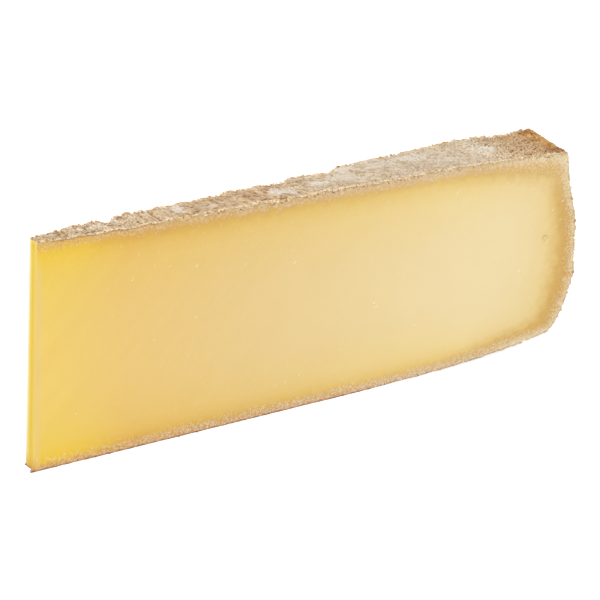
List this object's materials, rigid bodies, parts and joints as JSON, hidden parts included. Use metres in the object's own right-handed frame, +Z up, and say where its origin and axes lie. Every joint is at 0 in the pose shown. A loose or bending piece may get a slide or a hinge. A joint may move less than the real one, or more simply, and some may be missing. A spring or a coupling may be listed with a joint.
{
  "type": "comte cheese wedge",
  "caption": "Long narrow wedge of hard pressed cheese standing on its flat rind, with smooth pale cut faces, a trimmed tip, a bulging heel and a rough brown crust.",
  "frame": {"origin": "middle of the footprint's bounding box, on the plane the wedge rests on", "axes": "+X runs from the trimmed tip to the heel, +Y from the front cut to the back cut, +Z up"},
  "size_m": [0.2768, 0.0346, 0.1062],
  "materials": {
    "paste": "smooth, faintly waxy, slightly translucent",
    "rind": "dry, rough and crumbly"
  },
  "bodies": {
    "root": {"comte_wedge": "paste"}
  },
  "joints": []
}
